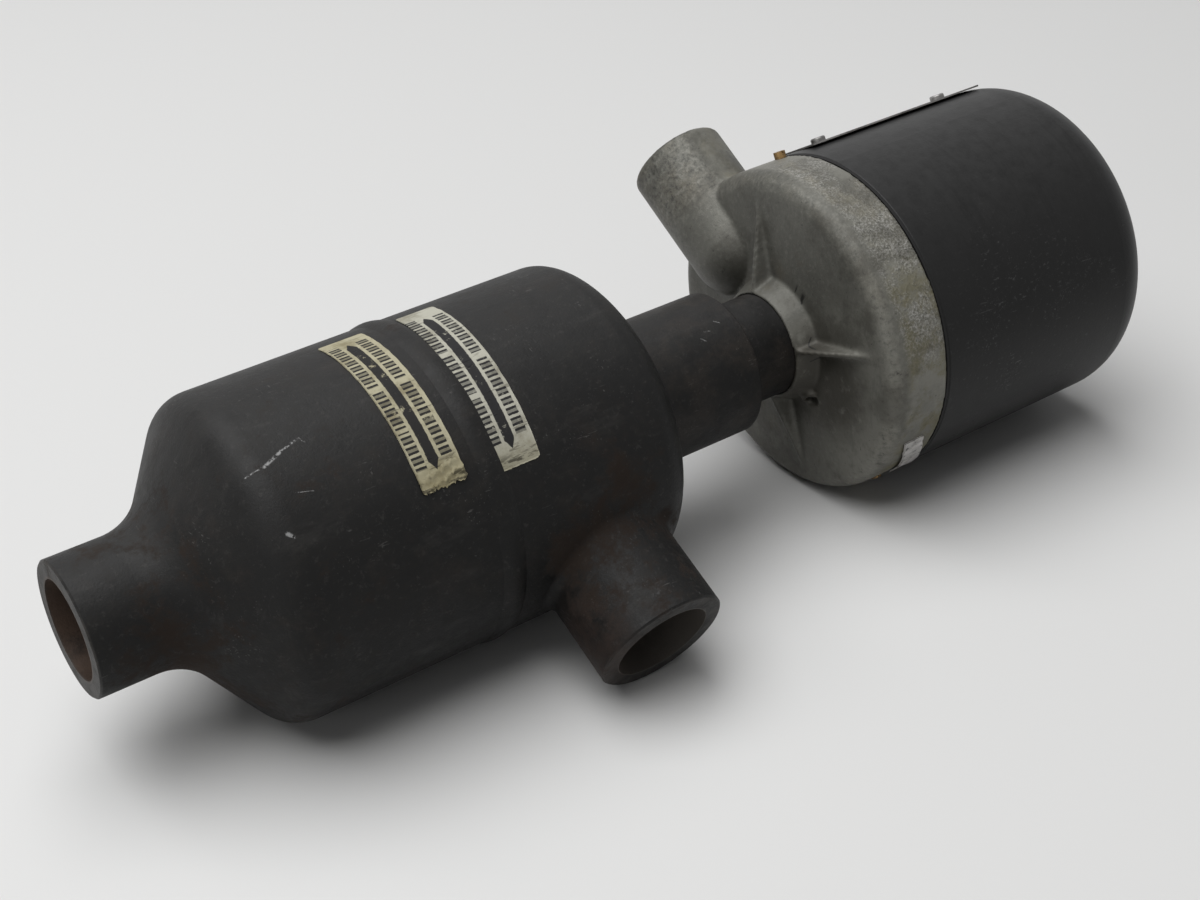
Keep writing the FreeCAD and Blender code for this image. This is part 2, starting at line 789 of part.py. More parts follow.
def return_spring():
    """Folded leaf spring between the frame's floor and the arm."""
    end = spring_station + spring_length
    rise = arm_bottom - spring_gap - frame_top
    lean = math.atan2(rise, spring_length)
    inside = spring_station + spring_sheet * (1 + 1 / math.cos(lean)) / math.tan(lean)
    corners = ((end, frame_top), (spring_station, frame_top, spring_fold), (end, frame_top + rise),
               (end, frame_top + rise - spring_sheet / math.cos(lean)),
               (inside, frame_top + spring_sheet, spring_fold - spring_sheet),
               (end, frame_top + spring_sheet))
    return sawn(corners, -spring_width / 2, spring_width / 2)


def snap_switch():
    """Snap action switch bolted between the cheeks."""
    body = box(cheek_start, switch_end, -cheek_inside, cheek_inside, switch_bottom, switch_top)
    deep = switch_bottom - plunger_gap + plunger_length
    travel = math.radians(magnet_swing) * (pivot_station - plunger_station)
    bore = post(plunger_radius + plunger_fit, plunger_station, 0, switch_bottom, deep + travel)
    return less(body, bore, *switch_bolt_bars(screw_radius, -cheek_inside, cheek_inside))


def switch_bolts():
    """Two bolts through cheeks and switch."""
    out = cheek_inside + sheet
    shanks = switch_bolt_bars(screw_radius, -out, out)
    near = switch_bolt_bars(screw_head, -out - screw_head_height, -out)
    far = switch_bolt_bars(screw_head, out, out + screw_head_height)
    return Part.makeCompound([joined(*parts) for parts in zip(shanks, near, far)])


def switch_plunger():
    low = arm_top + plunger_gap
    return post(plunger_radius, plunger_station, 0, low, low + plunger_length)


def terminal_bracket():
    """Sheet on the clamp's lower flat."""
    sheet_plate = box(frame_start, cheek_start + block_length, -block_width / 2, block_width / 2,
                      -frame_top, -clamp_flat)
    return less(sheet_plate, *screw_holes(-1))


def terminal_block():
    """Moulded block with a well for each frame screw head."""
    block = box(cheek_start, cheek_start + block_length, -block_width / 2, block_width / 2,
                -frame_top - block_height, -frame_top)
    wells = [flat_post(screw_head, y, side, frame_top, frame_top + screw_head_height)
             for y, side in frame_screw_spots() if side < 0]
    return less(block, *wells)


def terminal_screws():
    """Clamping screws on the outer face of the block."""
    low = frame_top + block_height
    pitch = block_width / (lead_count + 1)
    x = cheek_start + block_length / 2
    return Part.makeCompound([post(terminal_radius, x, pitch * (i + 1) - block_width / 2,
                                   -low - terminal_height, -low) for i in range(lead_count)])


def switch_leads():
    """Insulated leads from the top of the switch round to the end of the block."""
    top = switch_top + lead_rise
    entry = -frame_top - block_height / 2
    leads = []
    for i in range(lead_count):
        x = (cheek_start + switch_end) / 2 + (i - (lead_count - 1) / 2) * lead_pitch
        points = [Vector(x, lead_offset, switch_top), Vector(x, lead_offset, top), Vector(x, lead_out, top),
                  Vector(x, lead_out, entry), Vector(x, block_width / 2, entry)]
        leads.append(bent_bar(points, lead_radius, lead_bend))
    return Part.makeCompound(leads)


# ---- Rest on the floor -------------------------------------------------------------------------
def shoulder_end():
    """Where the lower shoulder's round runs into the chamber's pipe."""
    return lower_cone_x(chamber_radius) + bottom_shoulder_round * math.tan(math.atan2(1, bottom_slope) / 2)


def rest_pitch():
    """How far the axis rises towards the cover, in radians."""
    return math.atan2(band_radius - chamber_radius, face_station + band_round - shoulder_end())


def side_drop():
    """Angle below level, in degrees, at which the side connection's rim meets the floor."""
    depth = chamber_radius + (side_station - shoulder_end()) * math.tan(rest_pitch())
    corner = math.atan2(connection_radius, side_reach)
    return math.degrees(math.asin(depth / math.hypot(side_reach, connection_radius)) - corner)


def lay_down(shapes):
    """Pitch every piece by the same angle, and set the middle of the whole over the origin."""
    for shape in shapes.values():
        shape.rotate(ORIGIN, Vector(0, -1, 0), math.degrees(rest_pitch()))
    whole = Part.makeCompound(list(shapes.values())).optimalBoundingBox(False)
    for shape in shapes.values():
        shape.translate(Vector(-whole.Center.x, -whole.Center.y, -whole.ZMin))


side_angle = 270 - side_drop()

pieces = {
    "lower_chamber": lower_chamber(),
    "upper_chamber": upper_chamber(),
    "girth_weld": girth_weld(),
    "side_connection": side_connection(),
    "side_weld": side_weld(),
    "neck_collar": neck_collar(),
    "neck_weld": neck_weld(),
    "tube_adapter": tube_adapter(),
    "stem_guide": stem_guide(),
    "enclosing_tube": enclosing_tube(),
    "float_lower_half": float_half(-1),
    "float_upper_half": float_half(1),
    "float_weld": float_weld(),
    "float_stem": float_stem(),
    "stem_stop": stem_stop(),
    "attraction_sleeve": attraction_sleeve(),
    "stem_nuts": stem_nuts(),
    "housing_base": housing_base(),
    "set_screw": set_screw(),
    "ground_screw": ground_screw(),
    "clamp_screws": clamp_screws(),
    "band_tag": band_tag(),
    "cover_gasket": cover_gasket(),
    "cover": cover(),
    "nameplate": nameplate(),
    "nameplate_screws": nameplate_screws(),
    "frame_clamp": frame_clamp(),
    "clamp_bolt": clamp_bolt(),
    "frame_screws": frame_screws(),
    "switch_frame": switch_frame(),
    "pivot_pin": pivot_pin(),
    "magnet_arm": magnet_arm(),
    "magnet": magnet(),
    "return_spring": return_spring(),
    "snap_switch": snap_switch(),
    "switch_bolts": switch_bolts(),
    "switch_plunger": switch_plunger(),
    "terminal_bracket": terminal_bracket(),
    "terminal_block": terminal_block(),
    "terminal_screws": terminal_screws(),
    "switch_leads": switch_leads(),
    "label_falling": label(falling_station, falling_width, falling_angles),
    "label_rising": label(rising_station, rising_width, rising_angles),
}

lay_down(pieces)

os.makedirs("parts", exist_ok=True)
for name, shape in pieces.items():
    shape.exportStep("parts/" + name + ".step")
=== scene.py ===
import json
import math
import random

import bpy
from mathutils import Matrix, Vector


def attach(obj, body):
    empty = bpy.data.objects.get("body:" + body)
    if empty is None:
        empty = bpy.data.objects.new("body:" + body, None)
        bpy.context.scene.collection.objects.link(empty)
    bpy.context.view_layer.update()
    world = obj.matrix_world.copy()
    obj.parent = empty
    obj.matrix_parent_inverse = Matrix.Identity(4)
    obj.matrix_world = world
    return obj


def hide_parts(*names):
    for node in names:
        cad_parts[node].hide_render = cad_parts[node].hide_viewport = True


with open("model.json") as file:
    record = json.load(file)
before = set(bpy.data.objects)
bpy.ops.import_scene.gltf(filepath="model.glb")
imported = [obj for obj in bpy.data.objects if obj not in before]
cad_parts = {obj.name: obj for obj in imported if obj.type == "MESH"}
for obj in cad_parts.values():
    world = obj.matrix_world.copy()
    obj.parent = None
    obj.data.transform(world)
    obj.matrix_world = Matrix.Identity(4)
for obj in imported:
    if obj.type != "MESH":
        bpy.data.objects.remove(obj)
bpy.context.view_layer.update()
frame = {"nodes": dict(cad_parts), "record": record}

# A float level switch lying on a pale floor. Lengths are in metres. Places are given as in the part's
# own source: x in millimetres along the switch's axis from the rim of its bottom connection, r out from
# the axis, and the angle round it in degrees, from up towards the back.

mounts = {m["name"]: m for m in frame["record"]["mounts"]}
bottom = mounts["bottom_socket"]
side = mounts["side_socket"]
ALONG = -Vector(bottom["axis"]).normalized()
BACK = Vector((0, 1, 0))
UP = ALONG.cross(BACK).normalized()
RIM = Vector(bottom["pos_m"]) - ALONG * bottom["dims"]["length_mm"] / 2000
SIDE_SPOT = Vector(side["pos_m"])       # middle of the side connection's socket
SIDE_AXIS = Vector(side["axis"])
SIDE_ANGLE = math.degrees(math.atan2(SIDE_AXIS.dot(BACK), SIDE_AXIS.dot(UP)))
SIDE_RIM = (SIDE_SPOT - RIM).dot(SIDE_AXIS) * 1000 + side["dims"]["length_mm"] / 2

CHAMBER_RADIUS = 70.65
GIRTH_SEAM = 158.5
SIDE_STATION = 208.0
SOCKET_RADIUS = 21.3
NECK_RADIUS = 33.4
HUB_RADIUS = 29.0
BAND_START = 358.0                      # where the casting's face has turned into its band
BAND_RADIUS = 77.7
COVER_RADIUS = 78.0


def out(angle):
    """The direction away from the axis at an angle."""
    turn = math.radians(angle)
    return UP * math.cos(turn) + BACK * math.sin(turn)


def at(x, r, angle):
    """A point, from millimetres along the axis and out from it."""
    return RIM + ALONG * (x / 1000) + out(angle) * (r / 1000)


# ---- Camera, lamps and world -------------------------------------------------------------------
CAMERA_AT = at(-152.7, 0, 0) + BACK * -0.6158 + UP * 0.4539
CAMERA_FORWARD = ALONG * 0.4581 + BACK * 0.7044 + UP * -0.5422
CAMERA_RIGHT = ALONG * 0.8183 + BACK * -0.5723 + UP * -0.0522
CAMERA_LENS = 58.7
CAMERA_SENSOR = 36.0
SKY_LIGHT = 0.07
SKY_SHOWN = (0.72, 0.72, 0.72, 1)


def add_camera():
    data = bpy.data.cameras.new("camera")
    data.sensor_width = CAMERA_SENSOR
    data.lens = CAMERA_LENS
    data.clip_start = 0.01
    camera = bpy.data.objects.new("camera", data)
    bpy.context.scene.collection.objects.link(camera)
    forward = CAMERA_FORWARD.normalized()
    right = (CAMERA_RIGHT - forward * CAMERA_RIGHT.dot(forward)).normalized()
    up = right.cross(forward)
    turn = Matrix((right, up, -forward)).transposed()
    camera.matrix_world = Matrix.Translation(CAMERA_AT) @ turn.to_4x4()
    bpy.context.scene.camera = camera


def add_lamp(name, spot, aim, size, power):
    data = bpy.data.lights.new(name, "AREA")
    data.shape = "RECTANGLE"
    data.size, data.size_y = size
    data.energy = power
    lamp = bpy.data.objects.new(name, data)
    bpy.context.scene.collection.objects.link(lamp)
    lamp.location = spot
    lamp.rotation_euler = (Vector(aim) - Vector(spot)).to_track_quat("-Z", "Y").to_euler()


def add_world():
    """Weak light all round; the camera, metal and glass see a pale grey instead."""
    world = bpy.data.worlds.new("studio")
    world.use_nodes = True
    nodes, links = world.node_tree.nodes, world.node_tree.links
    nodes.clear()
    path = nodes.new("ShaderNodeLightPath")
    seen = path.outputs["Is Camera Ray"]
    for ray in ("Is Glossy Ray", "Is Transmission Ray"):
        either = nodes.new("ShaderNodeMath")
        either.operation = "MAXIMUM"
        links.new(seen, either.inputs[0])
        links.new(path.outputs[ray], either.inputs[1])
        seen = either.outputs[0]
    lit = nodes.new("ShaderNodeBackground")
    lit.inputs["Color"].default_value = (1, 1, 1, 1)
    lit.inputs["Strength"].default_value = SKY_LIGHT
    shown = nodes.new("ShaderNodeBackground")
    shown.inputs["Color"].default_value = SKY_SHOWN
    mix = nodes.new("ShaderNodeMixShader")
    end = nodes.new("ShaderNodeOutputWorld")
    links.new(seen, mix.inputs[0])
    links.new(lit.outputs[0], mix.inputs[1])
    links.new(shown.outputs[0], mix.inputs[2])
    links.new(mix.outputs[0], end.inputs["Surface"])
    bpy.context.scene.world = world


# ---- Node helpers ------------------------------------------------------------------------------
class Paint:
    """A material's node tree, with short names for the nodes that the finishes below use."""

    def __init__(self, name):
        self.material = bpy.data.materials.new(name)
        self.material.use_nodes = True
        self.tree = self.material.node_tree
        self.shader = self.tree.nodes["Principled BSDF"]
        self.coordinates = self.new("TexCoord").outputs["Object"]

    def new(self, kind, **settings):
        node = self.tree.nodes.new("ShaderNode" + kind)
        for key, value in settings.items():
            setattr(node, key, value)
        return node

    def feed(self, socket, value):
        if isinstance(value, bpy.types.NodeSocket):
            self.tree.links.new(value, socket)
        else:
            socket.default_value = value

    def math(self, operation, a, b=0.0, clamp=False):
        node = self.new("Math", operation=operation, use_clamp=clamp)
        self.feed(node.inputs[0], a)
        self.feed(node.inputs[1], b)
        return node.outputs[0]

    def vector(self, operation, a, b):
        node = self.new("VectorMath", operation=operation)
        self.feed(node.inputs[0], a)
        self.feed(node.inputs[1], b)
        return node

    def both(self, *values):
        """The product of several shares."""
        result = values[0]
        for value in values[1:]:
            result = self.math("MULTIPLY", result, value)
        return result

    def either(self, *values):
        """The largest of several shares."""
        result = values[0]
        for value in values[1:]:
            result = self.math("MAXIMUM", result, value)
        return result

    def far(self, direction):
        """How far a point lies from the bottom rim's centre in a direction, in millimetres."""
        reach = self.vector("DOT_PRODUCT", self.coordinates, direction).outputs["Value"]
        return self.math("MULTIPLY", self.math("SUBTRACT", reach, RIM.dot(direction)), 1000)

    def angle(self):
        """Degrees round the axis, from up towards the back."""
        turn = self.math("ARCTAN2", self.far(BACK), self.far(UP))
        return self.math("MULTIPLY", turn, math.degrees(1))

    def off_axis(self):
        """Millimetres from the axis."""
        squares = [self.math("MULTIPLY", part, part) for part in (self.far(BACK), self.far(UP))]
        return self.math("SQRT", self.math("ADD", *squares))

    def unrolled(self, radius):
        """Millimetres along the axis and round it at a radius, as x and y."""
        node = self.new("CombineXYZ")
        self.feed(node.inputs[0], self.far(ALONG))
        self.feed(node.inputs[1], self.math("MULTIPLY", self.angle(), math.radians(radius)))
        return node.outputs[0]

    def stretched(self, turn, scale):
        """The object's coordinates turned and scaled, which draws a noise out into lines."""
        node = self.new("Mapping")
        self.feed(node.inputs["Vector"], self.coordinates)
        node.inputs["Rotation"].default_value = turn
        node.inputs["Scale"].default_value = scale
        return node.outputs[0]

    def noise(self, scale, detail=4.0, roughness=0.6, on=None):
        node = self.new("TexNoise")
        self.feed(node.inputs["Vector"], self.coordinates if on is None else on)
        node.inputs["Scale"].default_value = scale
        node.inputs["Detail"].default_value = detail
        node.inputs["Roughness"].default_value = roughness
        return node.outputs[0]

    def band(self, value, low, high):
        """0 at low and 1 at high, smooth between."""
        node = self.new("MapRange", interpolation_type="SMOOTHSTEP")
        self.feed(node.inputs["Value"], value)
        node.inputs["From Min"].default_value = low
        node.inputs["From Max"].default_value = high
        return node.outputs[0]

    def within(self, value, low, high, fade):
        """1 between two values, 0 a fade outside them."""
        return self.both(self.band(value, low - fade, low), self.band(value, high + fade, high))

    def stroke(self, on, start, end, width, ragged=0.0):
        """1 on a line between two points of an unrolled surface, given as (x, angle's length)."""
        path = Vector((*end, 0)) - Vector((*start, 0))
        off = self.vector("SUBTRACT", on, (*start, 0)).outputs[0]
        share = self.vector("DOT_PRODUCT", off, tuple(path / path.length_squared)).outputs["Value"]
        held = self.math("ADD", share, 0.0, clamp=True)
        foot = self.new("CombineXYZ")
        self.feed(foot.inputs[0], self.math("MULTIPLY", held, path.x))
        self.feed(foot.inputs[1], self.math("MULTIPLY", held, path.y))
        gap = self.vector("DISTANCE", off, foot.outputs[0]).outputs["Value"]
        if ragged:
            gap = self.math("ADD", gap, self.math("MULTIPLY", self.noise(1.4, 5, 0.7, on), ragged))
        return self.band(gap, width, width * 0.5)

    def mix(self, share, first, second):
        node = self.new("Mix", data_type="RGBA")
        self.feed(node.inputs[0], share)
        for socket, colour in ((node.inputs[6], first), (node.inputs[7], second)):
            self.feed(socket, colour if isinstance(colour, bpy.types.NodeSocket) else (*colour, 1))
        return node.outputs[2]

    def over(self, colour, share, strength, top):
        """Another colour laid over the first, where share says and as strongly as strength says."""
        return self.mix(self.math("MULTIPLY", share, strength), colour, top)

    def blend(self, share, first, second):
        """A number between two others."""
        node = self.new("Mix", data_type="FLOAT")
        self.feed(node.inputs[0], share)
        self.feed(node.inputs[2], first)
        self.feed(node.inputs[3], second)
        return node.outputs[0]

    def near(self, spot, radius, fade):
        """1 within a radius of a point, 0 a fade further out."""
        gap = self.vector("DISTANCE", self.coordinates, tuple(spot)).outputs["Value"]
        return self.band(gap, radius + fade, radius)

    def bump(self, height, distance, strength, under=None):
        node = self.new("Bump")
        node.inputs["Strength"].default_value = strength
        node.inputs["Distance"].default_value = distance
        self.feed(node.inputs["Height"], height)
        if under is not None:
            self.feed(node.inputs["Normal"], under)
        return node.outputs[0]

    def finish(self, colour, roughness, normal=None, metallic=0.0, specular=0.5):
        self.feed(self.shader.inputs["Base Color"], colour)
        self.feed(self.shader.inputs["Roughness"], roughness)
        self.shader.inputs["Metallic"].default_value = metallic
        self.shader.inputs["Specular IOR Level"].default_value = specular
        if normal is not None:
            self.feed(self.shader.inputs["Normal"], normal)
        return self.material


def grey(level, warm=0.0):
    """A linear colour from an sRGB grey level of 0 to 255, warmer or cooler."""
    base = (level / 255) ** 2.2
    return (base * (1 + warm), base, base * (1 - warm))


def olive(level):
    """As grey(), with the slight yellow-green of weathered aluminium."""
    base = (level / 255) ** 2.2
    return (base * 1.015, base, base * 0.875)


# ---- Finishes ----------------------------------------------------------------------------------
BROWN_PAINT = (0.022, 0.0165, 0.0135)
RUST = (0.034, 0.023, 0.017)
RUSTY_WALL = (0.075, 0.05, 0.037)
DULL_BORE = (0.09, 0.08, 0.07)
BURNT_PAINT = (0.036, 0.023, 0.018)
NECK_BROWN = (0.04, 0.032, 0.026)
TARNISH = (0.105, 0.093, 0.07)
YELLOW_STAIN = (0.14, 0.125, 0.067)
PALE_STAIN = (0.17, 0.155, 0.11)
CAST_BROWN = (0.1, 0.085, 0.06)
GRIME = (0.026, 0.022, 0.016)
SMUDGE = (0.036, 0.033, 0.026)
BRIGHT_BRASS = (0.3, 0.19, 0.08)
DULL_BRASS = (0.12, 0.075, 0.035)
RED_LEAD = ((0.28, 0.03, 0.02), (0.36, 0.05, 0.03))
CREAM_PAPER = ((0.44, 0.41, 0.29), (0.24, 0.21, 0.13))
PALE_PAPER = ((0.47, 0.46, 0.39), (0.27, 0.255, 0.2))
CREASE = (0.09, 0.08, 0.06)
# Painted shade for the folds at a label's foot.
FOLD_SHADE = (0.03, 0.026, 0.018)
INK = (0.007, 0.007, 0.01)
FLOOR_COLOUR = (0.72, 0.72, 0.715, 1)

# Turn and scale of each direction in which scratches run.
SCRATCH_LINES = (((0.9, 0.1, 0.3), (110, 1100, 900)), ((0.2, 0.5, 1.3), (1100, 140, 900)),
                 ((1.4, 0.8, 0.2), (900, 130, 1100)))


def scratches(p, fine):
    """Short fine scratches in several directions; a higher fine leaves fewer."""
    lines = [p.band(p.noise(1.0, 3, 0.5, p.stretched(turn, scale)), fine, fine + 0.05)
             for turn, scale in SCRATCH_LINES]
    return p.both(p.either(*lines), p.band(p.noise(45, 5, 0.7), 0.52, 0.66))


# White strokes on the unrolled chamber: start and end as (x, length round), and width.
CHALK_MARKS = (((68.0, -37.4), (76.0, -37.0), 1.0), ((76.0, -37.0), (84.6, -33.4), 1.5),
               ((84.6, -33.4), (93.3, -30.7), 1.2), ((93.3, -30.7), (94.8, -33.2), 1.0),
               ((81.5, -50.8), (88.5, -52.8), 0.8), ((72.5, -64.0), (74.0, -66.0), 1.6))
NECK_SCUFFS = (((303.4, -13.0), (305.4, -14.8)), ((292.4, -18.8), (294.0, -20.6)),
               ((296.0, -16.2), (298.6, -16.8)))


def charcoal(p, mottle):
    """Old charcoal paint, lighter on top from settled dust and a painted highlight, with greyer, browner
    and rubbed patches.
    """
    # dust: lighter towards the top, partly settled dust and partly a painted highlight standing in for the
    # sheen of the light from above.
    dust = p.both(p.band(p.angle(), -75, 5), p.band(p.angle(), 150, 60))
    colour = p.mix(p.band(p.noise(9, 5, 0.65), 0.35, 0.7), grey(19), grey(25, 0.04))
    colour = p.over(colour, p.both(dust, p.band(mottle, 0.1, 0.8)), 0.75, grey(50, 0.02))
    colour = p.over(colour, p.band(mottle, 0.5, 0.76), 0.6, grey(42, 0.12))
    colour = p.over(colour, p.band(p.noise(300, 6, 0.8), 0.55, 0.66), 0.5, grey(54, 0.05))
    colour = p.over(colour, p.band(p.noise(32, 7, 0.78), 0.52, 0.72), 0.4, BROWN_PAINT)
    rubs = p.band(p.noise(1.0, 5, 0.7, p.stretched((0.5, 0.4, 0.1), (30, 130, 60))), 0.54, 0.74)
    return p.over(colour, rubs, 0.3, grey(60, 0.05))


def chamber_rust(p):
    """Where a breath of rust shows: mostly on the bottom stub and at the side connection's root."""
    stub = p.near(at(40, 20, -120), 0.03, 0.05)
    side_root = p.near(at(SIDE_STATION, 80, SIDE_ANGLE + 20), 0.02, 0.04)
    place = p.either(stub, side_root)
    return p.band(p.math("ADD", p.noise(26, 7, 0.75), p.math("MULTIPLY", place, 0.13)), 0.6, 0.74)


def bare_openings(p, colour, along):
    """Brown socket walls and rims rubbed to the metal, at both connections."""
    inside = p.both(p.band(p.off_axis(), SOCKET_RADIUS + 1.3, SOCKET_RADIUS + 0.3), p.band(along, 60, 40))
    brown_wall = p.both(inside, p.band(p.noise(60, 5, 0.7), 0.2, 0.6))
    colour = p.over(colour, brown_wall, 0.85, RUSTY_WALL)
    colour = p.over(colour, p.near(SIDE_SPOT, 0.0234, 0.0004), 0.8, DULL_BORE)
    patches = p.noise(160, 5, 0.7)
    rim = p.band(along, 0.9, 0.1)
    colour = p.over(colour, p.both(rim, p.band(patches, 0.3, 0.6)), 0.6, grey(66, 0.08))
    side_rim = p.band(p.far(SIDE_AXIS), SIDE_RIM - 0.6, SIDE_RIM)
    return p.over(colour, p.both(side_rim, p.band(patches, 0.35, 0.65)), 0.45, grey(70, 0.08))


def chamber_wear(p, colour, mottle, grit):
    """Worn specks, scratches, and a browned patch and a rub on the side connection."""
    worn = p.both(p.band(p.noise(330, 4, 0.65), 0.66, 0.74), p.band(p.noise(20, 4), 0.45, 0.65))
    colour = p.over(colour, worn, 0.45, grey(84, 0.05))
    colour = p.over(colour, scratches(p, 0.66), 0.4, grey(105, 0.03))
    browned = p.both(p.near(SIDE_SPOT - ALONG * 0.024, 0.012, 0.016), p.band(mottle, 0.3, 0.6))
    colour = p.over(colour, browned, 0.55, BURNT_PAINT)
    rub = SIDE_SPOT + (UP * 0.88 - BACK * 0.43 - ALONG * 0.15) * 0.026
    return p.over(colour, p.both(p.near(rub, 0.001, 0.004), p.band(grit, 0.5, 0.64)), 0.5, grey(105))


def white_marks(p, colour, along):
    """Chalky strokes on the chamber, and scuffs on a slightly browner neck."""
    flat = p.unrolled(CHAMBER_RADIUS)
    chalk = p.either(*[p.stroke(flat, start, end, width, 1.1) for start, end, width in CHALK_MARKS])
    colour = p.over(colour, p.both(chalk, p.band(p.noise(700, 4, 0.7), 0.42, 0.54)), 0.8, grey(160))
    on_neck = p.both(p.band(p.off_axis(), NECK_RADIUS + 2.1, NECK_RADIUS + 1.1), p.band(along, 262, 268))
    flat = p.unrolled(NECK_RADIUS)
    broken = p.band(p.noise(800, 4, 0.7), 0.4, 0.55)
    for start, end in NECK_SCUFFS:
        scuff = p.both(on_neck, p.stroke(flat, start, end, 1.0, 1.2), broken)
        colour = p.over(colour, scuff, 0.8, grey(150))
    browner = p.both(on_neck, p.band(p.noise(45, 6, 0.75), 0.42, 0.66))
    return p.over(colour, browner, 0.35, NECK_BROWN)


def chamber_paint():
    """Charcoal paint over forged and rolled steel: grit, rubbed spots, a breath of rust."""
    p = Paint("chamber_paint")
    along = p.far(ALONG)
    mottle = p.noise(70, 6, 0.7)
    grit = p.noise(900, 4, 0.6)
    rust = chamber_rust(p)
    colour = p.over(charcoal(p, mottle), rust, 0.5, RUST)
    colour = bare_openings(p, colour, along)
    colour = chamber_wear(p, colour, mottle, grit)
    colour = white_marks(p, colour, along)
    roughness = p.blend(rust, p.blend(p.band(mottle, 0.4, 0.7), 0.5, 0.66), 0.9)
    normal = p.bump(grit, 0.0002, 0.6, p.bump(mottle, 0.0009, 0.35))
    return p.finish(colour, roughness, normal, specular=0.2)


def cover_paint():
    """Satin dark enamel, lighter on top from settled dust and a painted highlight, and scuffed along its
    lower side.
    """
    p = Paint("cover_paint")
    cloud = p.noise(7, 5, 0.6)
    grit = p.noise(700, 3, 0.6)
    dust = p.band(p.noise(45, 7, 0.78), 0.55, 0.8)
    # Lighter towards the top: part settled dust, part a painted highlight for the light falling from
    # above.
    settled_dust_and_sheen = p.both(p.band(p.angle(), -75, 0), p.band(p.angle(), 150, 60))
    colour = p.mix(p.band(cloud, 0.3, 0.7), grey(22), grey(28))
    colour = p.over(colour, p.both(settled_dust_and_sheen, p.band(p.noise(160, 5, 0.7), 0.1, 0.7)), 0.8, grey(50))
    colour = p.over(colour, dust, 0.3, grey(46))
    streaks = p.band(p.noise(1.0, 4, 0.65, p.stretched((0, 0, 0), (260, 14, 14))), 0.5, 0.7)
    colour = p.over(colour, streaks, 0.35, grey(22))
    scuff = p.either(p.near(at(425, COVER_RADIUS, -62), 0.012, 0.02),
                     p.near(at(450, COVER_RADIUS, -64), 0.008, 0.014))
    low = p.near(at(440, COVER_RADIUS, -100), 0.03, 0.05)
    lines = p.noise(1.0, 5, 0.7, p.stretched((0.3, 0.6, 0.2), (300, 900, 520)))
    marks = p.both(scuff, p.band(lines, 0.6, 0.68))
    specks = p.band(p.noise(420, 4, 0.7), 0.6, 0.68)
    colour = p.over(colour, p.both(specks, p.math("ADD", low, 0.2)), 0.22, grey(90))
    colour = p.over(colour, marks, 0.4, grey(88))
    colour = p.over(colour, p.both(scratches(p, 0.64), p.math("ADD", low, 0.25)), 0.35, grey(100))
    roughness = p.blend(dust, 0.42, 0.6)
    normal = p.bump(grit, 0.00012, 0.5, p.bump(cloud, 0.002, 0.2))
    return p.finish(colour, roughness, normal, specular=0.2)


# Dark lines on the unrolled hub, as for the chamber's strokes.
HUB_CRACKS = (((354.5, -6.0), (350.5, -11.5)), ((351.5, -12.5), (350.0, -17.5)),
              ((350.0, -43.0), (346.0, -44.5)), ((348.0, -33.0), (345.0, -37.0)))


def cast_skin(p, skin, angle, on_band):
    """Grey cast skin with pale flecks, and a painted highlight that makes the top of the band lighter."""
    colour = p.mix(p.band(p.noise(14, 5, 0.6), 0.3, 0.7), olive(84), olive(102))
    colour = p.over(colour, p.band(p.noise(75, 6, 0.7), 0.42, 0.66), 0.3, olive(106))
    colour = p.over(colour, p.band(skin, 0.5, 0.66), 0.28, olive(126))
    # Painted highlight: the top of the band is lighter where the overhead light falls on it.
    return p.over(colour, p.both(on_band, p.within(angle, -90, 40, 25)), 0.4, olive(142))


def cast_face(p, colour, angle, off_band):
    """A darker hub and a lighter low side of the face."""
    hub = p.both(p.band(p.off_axis(), HUB_RADIUS + 9, HUB_RADIUS + 5), p.band(angle, -100, -80))
    colour = p.over(colour, hub, 0.45, olive(80))
    return p.over(colour, p.both(off_band, p.within(angle, -128, -60, 20)), 0.6, olive(122))


def cast_spout(p, colour, skin, off_band):
    """Tarnish, dark speckle and pale flecks on the conduit tube."""
    spout = p.both(p.band(p.off_axis(), 66, 84), off_band)
    tarnish = p.both(spout, p.band(p.noise(45, 6, 0.75), 0.38, 0.62))
    colour = p.over(colour, tarnish, 0.6, TARNISH)
    colour = p.over(colour, p.both(spout, p.band(p.noise(420, 6, 0.75), 0.48, 0.4)), 0.7, olive(58))
    return p.over(colour, p.both(spout, p.band(skin, 0.5, 0.64)), 0.25, olive(140))


def cast_dirt(p, colour, skin, brown):
    """Dirt at the hub, brown clouds, pits, smudges, nicks and run marks all over."""
    hub_dirt = p.both(p.near(at(347, 34, -106), 0.013, 0.026), p.band(p.noise(130, 6, 0.7), 0.22, 0.48))
    colour = p.over(colour, hub_dirt, 0.8, GRIME)
    colour = p.over(colour, brown, 0.45, CAST_BROWN)
    colour = p.over(colour, p.band(skin, 0.38, 0.32), 0.5, olive(52))
    colour = p.over(colour, p.band(p.noise(38, 6, 0.7), 0.47, 0.66), 0.5, SMUDGE)
    nicks = p.noise(1.0, 4, 0.7, p.stretched((0.7, 0.3, 0.9), (120, 520, 300)))
    colour = p.over(colour, p.band(nicks, 0.64, 0.7), 0.6, olive(44))
    runs = p.noise(1.0, 3, 0.6, p.stretched((0, 0, 0), (30, 160, 30)))
    return p.over(colour, p.band(runs, 0.55, 0.7), 0.3, olive(72))


